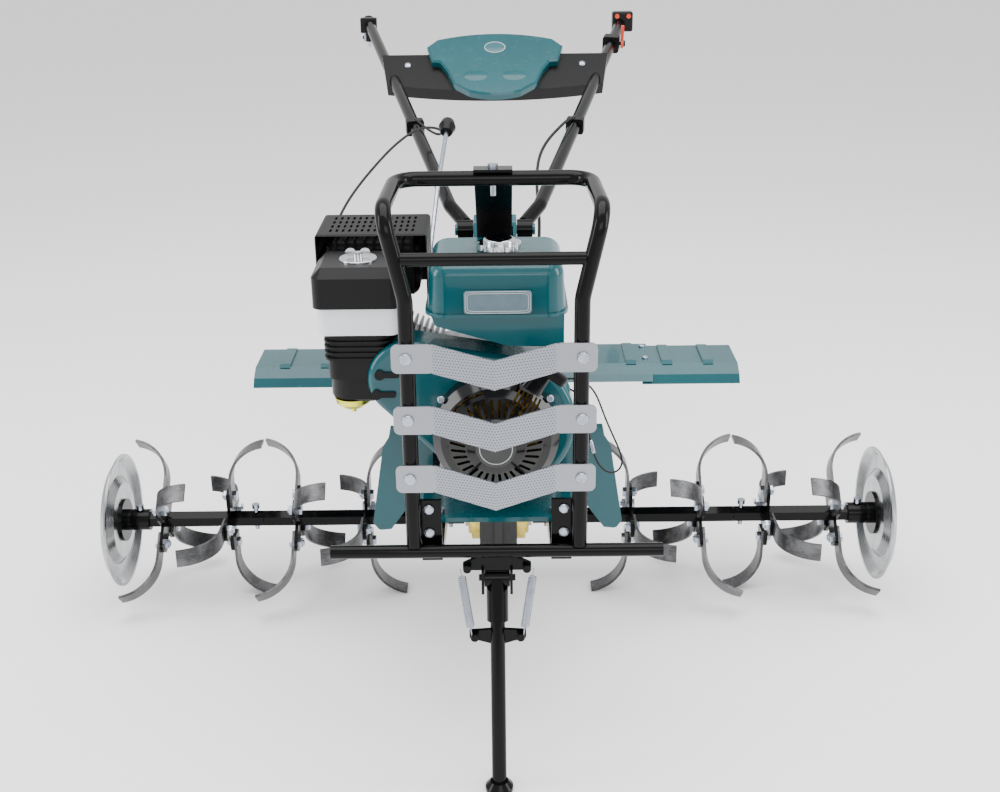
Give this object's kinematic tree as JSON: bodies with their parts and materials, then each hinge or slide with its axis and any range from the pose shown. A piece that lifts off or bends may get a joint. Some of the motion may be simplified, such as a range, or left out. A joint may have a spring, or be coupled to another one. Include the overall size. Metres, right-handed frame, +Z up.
{
  "type": "walk-behind rotary tiller",
  "caption": "Petrol walk-behind tiller with a tine rotor between side discs, a front engine in a tubular bumper, a folding stand and a long handlebar.",
  "frame": {"origin": "on the ground under the middle of the bounding box", "axes": "+X to the right seen from the front and along the tine axle, +Y from the bumper back to the grips, +Z up"},
  "size_m": [1.433, 1.8499, 0.963],
  "materials": {
    "teal_paint": "gloss petrol-teal paint",
    "black_paint": "gloss black powder coat",
    "cast_dark": "dark painted casting",
    "cast_alloy": "bare die-cast alloy",
    "zinc_yellow": "yellow zinc plate",
    "zinc": "clear zinc plate",
    "blade_steel": "ground grey steel",
    "polished_steel": "polished steel",
    "strap_alloy": "satin silver alloy",
    "chrome": "bright chrome",
    "gear_steel": "machined steel",
    "black_plastic": "matte black plastic",
    "teal_plastic": "gloss petrol-teal plastic",
    "pale_plastic": "pale translucent plastic",
    "grey_plate": "grey anodised plate",
    "yellow_bowl": "yellow plated pressing",
    "rubber": "black rubber",
    "red_plastic": "red plastic",
    "cable_black": "black cable sheath",
    "muffler_steel": "heat-proof black paint"
  },
  "bodies": {
    "chassis": {"gear_case": "cast_dark", "case_fittings": "black_paint", "bearing_hubs": "zinc_yellow", "engine_block": "cast_alloy", "cylinder": "cast_alloy", "blower_housing": "teal_paint", "recoil_cover": "black_plastic", "tank_plate": "grey_plate", "fuel_tank": "teal_paint", "cleaner_cover": "black_plastic", "cleaner_ring": "pale_plastic", "cleaner_base": "black_plastic", "cleaner_plate": "chrome", "carburettor": "cast_alloy", "float_bowl": "yellow_bowl", "muffler": "muffler_steel", "muffler_guard": "muffler_steel", "bumper_cage": "black_paint", "straps": "strap_alloy", "cradle": "black_paint", "brace_plate": "black_paint", "handle_mount": "teal_paint", "guards": "teal_paint", "skirts": "teal_paint", "frame_bolts": "zinc", "engine_wire": "cable_black", "clutch_cable": "cable_black", "throttle_cable": "cable_black"},
    "rotor": {"tine_axle": "gear_steel", "sleeves": "black_paint", "tines_left": "blade_steel", "tines_right": "blade_steel", "side_discs": "polished_steel", "rotor_fasteners": "zinc"},
    "input": {"input_shaft": "gear_steel"},
    "cross": {"cross_shaft": "gear_steel"},
    "idler_high": {"upper_idler": "gear_steel"},
    "idler_low": {"lower_idler": "gear_steel"},
    "crank": {"crankshaft": "gear_steel"},
    "starter": {"starter_grip": "black_plastic"},
    "stand": {"stand_leg": "black_paint", "stand_springs": "zinc"},
    "handle": {"handlebar": "black_paint", "grips": "rubber", "dash_panel": "black_plastic", "dash_shroud": "teal_plastic", "handle_clamps": "black_plastic", "switch_box": "black_plastic"},
    "clutch": {"clutch_lever": "zinc"},
    "stop": {"stop_button": "red_plastic"},
    "start": {"start_button": "red_plastic"},
    "throttle": {"throttle_lever": "red_plastic"},
    "shift": {"shift_lever": "zinc", "shift_knob": "black_plastic"},
    "stake": {"drag_stake": "zinc"},
    "cap": {"fuel_cap": "chrome"},
    "choke": {"choke_lever": "zinc"},
    "fuel": {"fuel_lever": "zinc"}
  },
  "joints": [
    {"name": "rotor_spin", "type": "hinge", "parent": "chassis", "child": "rotor", "pos_m": [0, -0.31698, 0.156], "axis": [1, 0, 0], "continuous": true},
    {"name": "low_idler_spin", "type": "hinge", "parent": "chassis", "child": "idler_low", "pos_m": [0, -0.31698, 0.267], "axis": [1, 0, 0], "continuous": true},
    {"name": "high_idler_spin", "type": "hinge", "parent": "chassis", "child": "idler_high", "pos_m": [0, -0.31698, 0.381], "axis": [1, 0, 0], "continuous": true},
    {"name": "cross_spin", "type": "hinge", "parent": "chassis", "child": "cross", "pos_m": [0, -0.31698, 0.481], "axis": [1, 0, 0], "continuous": true},
    {"name": "input_spin", "type": "hinge", "parent": "chassis", "child": "input", "pos_m": [0, -0.39698, 0.481], "axis": [0, 1, 0], "continuous": true},
    {"name": "crank_spin", "type": "hinge", "parent": "chassis", "child": "crank", "pos_m": [0, -0.51698, 0.481], "axis": [0, 1, 0], "continuous": true},
    {"name": "starter_pull", "type": "slide", "parent": "chassis", "child": "starter", "axis": [0.6, 0, 0.8], "range_m": [0, 0.25], "stiffness_N_per_m": 30, "springref_m": -0.2},
    {"name": "stand_fold", "type": "hinge", "parent": "chassis", "child": "stand", "pos_m": [0, -0.81598, 0.312], "axis": [1, 0, 0], "range_deg": [0, 60], "deforming": ["stand_springs"]},
    {"name": "handle_height", "type": "hinge", "parent": "chassis", "child": "handle", "pos_m": [0, -0.28398, 0.7], "axis": [1, 0, 0], "range_deg": [-8, 4], "deforming": ["clutch_cable", "throttle_cable"]},
    {"name": "clutch_squeeze", "type": "hinge", "parent": "handle", "child": "clutch", "pos_m": [-0.31, 0.79302, 0.907], "axis": [1, 0, 0], "range_deg": [0, 8], "stiffness_Nm_per_rad": 1, "springref_deg": -11.46},
    {"name": "stop_press", "type": "slide", "parent": "handle", "child": "stop", "axis": [0, 1, 0], "range_m": [0, 0.003], "stiffness_N_per_m": 600, "springref_m": -0.002},
    {"name": "start_press", "type": "slide", "parent": "handle", "child": "start", "axis": [0, 1, 0], "range_m": [0, 0.003], "stiffness_N_per_m": 600, "springref_m": -0.002},
    {"name": "throttle_turn", "type": "hinge", "parent": "handle", "child": "throttle", "pos_m": [0.29784, 0.6339, 0.90472], "axis": [1, 0, 0], "range_deg": [-25, 25]},
    {"name": "gear_shift", "type": "hinge", "parent": "chassis", "child": "shift", "pos_m": [-0.058, -0.32298, 0.536], "axis": [1, 0, 0], "range_deg": [0, 10]},
    {"name": "stake_slide", "type": "slide", "parent": "chassis", "child": "stake", "axis": [0, 0, 1], "range_m": [-0.1, 0]},
    {"name": "cap_twist", "type": "hinge", "parent": "chassis", "child": "cap", "pos_m": [0.008, -0.60698, 0.76], "axis": [0, 0, 1], "range_deg": [0, 90]},
    {"name": "choke_turn", "type": "hinge", "parent": "chassis", "child": "choke", "pos_m": [-0.176, -0.65498, 0.572], "axis": [0, 1, 0], "range_deg": [-45, 0]},
    {"name": "fuel_turn", "type": "hinge", "parent": "chassis", "child": "fuel", "pos_m": [-0.182, -0.65498, 0.54], "axis": [0, 1, 0], "range_deg": [0, 45]}
  ],
  "couplings": [
    {"joint": "low_idler_spin", "follows": "rotor_spin", "ratio": -1.5227},
    {"joint": "high_idler_spin", "follows": "rotor_spin", "ratio": 0.95714},
    {"joint": "cross_spin", "follows": "rotor_spin", "ratio": -2.2333},
    {"joint": "input_spin", "follows": "rotor_spin", "ratio": -4.02}
  ]
}
